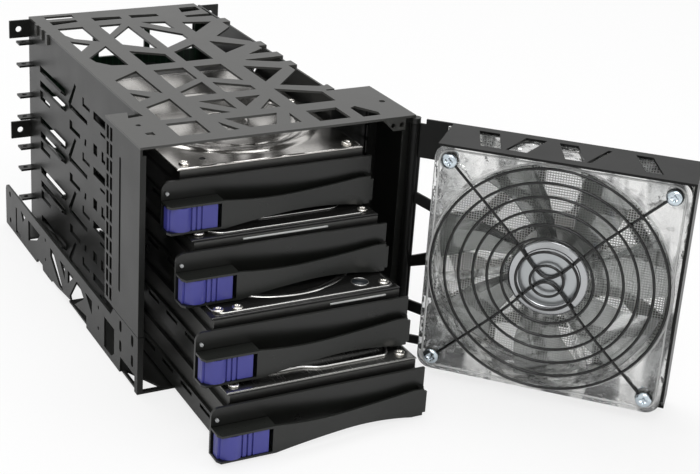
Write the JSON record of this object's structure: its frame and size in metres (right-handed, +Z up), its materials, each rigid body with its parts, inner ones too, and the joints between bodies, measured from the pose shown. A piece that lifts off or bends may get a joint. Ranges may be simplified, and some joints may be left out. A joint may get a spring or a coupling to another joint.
{
  "type": "hot swap drive cage",
  "caption": "Lattice-topped steel drive cage with latching drive trays on slides and a swing-open fan door with clear fan and wire guard.",
  "frame": {"origin": "bottom centre of the cage's front plane", "axes": "+X to the right, +Y into the cage, +Z up"},
  "size_m": [0.2444, 0.3498, 0.129],
  "materials": {
    "black_plastic": "moulded",
    "black_steel": "satin powder coat",
    "blue_plastic": "satin",
    "board_green": "solder mask",
    "bright_screw": "zinc plated",
    "clear_plastic": "clear polycarbonate",
    "cover_black": "gloss",
    "cover_bright": "polished",
    "cover_grey": "satin",
    "cover_silver": "satin",
    "drive_cast": "cast, dark",
    "filter_mesh": "woven mesh",
    "grey_steel": "satin powder coat",
    "handle_plastic": "satin",
    "light_clear": "clear",
    "tray_steel": "satin powder coat",
    "wire_black": "gloss black wire"
  },
  "bodies": {
    "cage": {"cage_top_plate": "grey_steel", "cage_side_panel_left": "black_steel", "cage_side_panel_right": "black_steel", "cage_bottom_plate": "black_steel", "front_cheek_left": "black_steel", "front_cheek_right": "black_steel", "contact_strip_left": "black_steel", "contact_strip_right": "black_steel", "lower_bracket_left": "black_steel", "lower_bracket_right": "black_steel", "rear_tabs_left": "black_steel", "rear_tabs_right": "black_steel", "tray_runners_left": "black_steel", "tray_runners_right": "black_steel", "rear_frame": "black_steel", "backplane_board": "board_green", "backplane_sockets": "black_plastic", "backplane_ports": "black_plastic", "hinge_lugs": "black_steel"},
    "door": {"door_panel": "black_steel", "door_filter": "filter_mesh", "fan_frame": "clear_plastic", "fan_guard": "wire_black", "fan_screws": "bright_screw"},
    "rotor": {"fan_rotor": "clear_plastic"},
    "tray_1": {"tray_1_frame": "tray_steel", "tray_1_drive": "drive_cast", "tray_1_cover": "cover_bright", "tray_1_screws": "bright_screw", "tray_1_light": "light_clear"},
    "handle_1": {"tray_1_handle": "handle_plastic"},
    "button_1": {"tray_1_button": "blue_plastic"},
    "tray_2": {"tray_2_frame": "tray_steel", "tray_2_drive": "drive_cast", "tray_2_cover": "cover_black", "tray_2_screws": "bright_screw", "tray_2_light": "light_clear"},
    "handle_2": {"tray_2_handle": "handle_plastic"},
    "button_2": {"tray_2_button": "blue_plastic"},
    "tray_3": {"tray_3_frame": "tray_steel", "tray_3_drive": "drive_cast", "tray_3_cover": "cover_grey", "tray_3_screws": "bright_screw", "tray_3_light": "light_clear"},
    "handle_3": {"tray_3_handle": "handle_plastic"},
    "button_3": {"tray_3_button": "blue_plastic"},
    "tray_4": {"tray_4_frame": "tray_steel", "tray_4_drive": "drive_cast", "tray_4_cover": "cover_silver", "tray_4_screws": "bright_screw", "tray_4_light": "light_clear"},
    "handle_4": {"tray_4_handle": "handle_plastic"},
    "button_4": {"tray_4_button": "blue_plastic"}
  },
  "joints": [
    {"name": "door_hinge", "type": "hinge", "parent": "cage", "child": "door", "pos_m": [0.073, 0, 0], "axis": [0, 0, 1], "range_deg": [-25, 45]},
    {"name": "fan_spin", "type": "hinge", "parent": "door", "child": "rotor", "pos_m": [0.12716, -0.05473, 0.066], "axis": [-0.7108, -0.7034, 0], "continuous": true},
    {"name": "tray_1_slide", "type": "slide", "parent": "cage", "child": "tray_1", "axis": [0, -1, 0], "range_m": [-0.0445, 0.0805]},
    {"name": "tray_1_handle_swing", "type": "hinge", "parent": "tray_1", "child": "handle_1", "pos_m": [0.0473, -0.001, 0.0867], "axis": [0, 0, 1], "range_deg": [0, 60]},
    {"name": "tray_1_button_push", "type": "slide", "parent": "handle_1", "child": "button_1", "axis": [1, 0, 0], "range_m": [0, 0.0016], "stiffness_N_per_m": 400, "springref_m": -0.0005},
    {"name": "tray_2_slide", "type": "slide", "parent": "cage", "child": "tray_2", "axis": [0, -1, 0], "range_m": [-0.064, 0.061]},
    {"name": "tray_2_handle_swing", "type": "hinge", "parent": "tray_2", "child": "handle_2", "pos_m": [0.0473, -0.0205, 0.0583], "axis": [0, 0, 1], "range_deg": [0, 60]},
    {"name": "tray_2_button_push", "type": "slide", "parent": "handle_2", "child": "button_2", "axis": [1, 0, 0], "range_m": [0, 0.0016], "stiffness_N_per_m": 400, "springref_m": -0.0005},
    {"name": "tray_3_slide", "type": "slide", "parent": "cage", "child": "tray_3", "axis": [0, -1, 0], "range_m": [-0.0895, 0.0355]},
    {"name": "tray_3_handle_swing", "type": "hinge", "parent": "tray_3", "child": "handle_3", "pos_m": [0.0473, -0.046, 0.0299], "axis": [0, 0, 1], "range_deg": [0, 60]},
    {"name": "tray_3_button_push", "type": "slide", "parent": "handle_3", "child": "button_3", "axis": [1, 0, 0], "range_m": [0, 0.0016], "stiffness_N_per_m": 400, "springref_m": -0.0005},
    {"name": "tray_4_slide", "type": "slide", "parent": "cage", "child": "tray_4", "axis": [0, -1, 0], "range_m": [-0.1095, 0.0155]},
    {"name": "tray_4_handle_swing", "type": "hinge", "parent": "tray_4", "child": "handle_4", "pos_m": [0.0473, -0.066, 0.0015], "axis": [0, 0, 1], "range_deg": [0, 60]},
    {"name": "tray_4_button_push", "type": "slide", "parent": "handle_4", "child": "button_4", "axis": [1, 0, 0], "range_m": [0, 0.0016], "stiffness_N_per_m": 400, "springref_m": -0.0005}
  ]
}
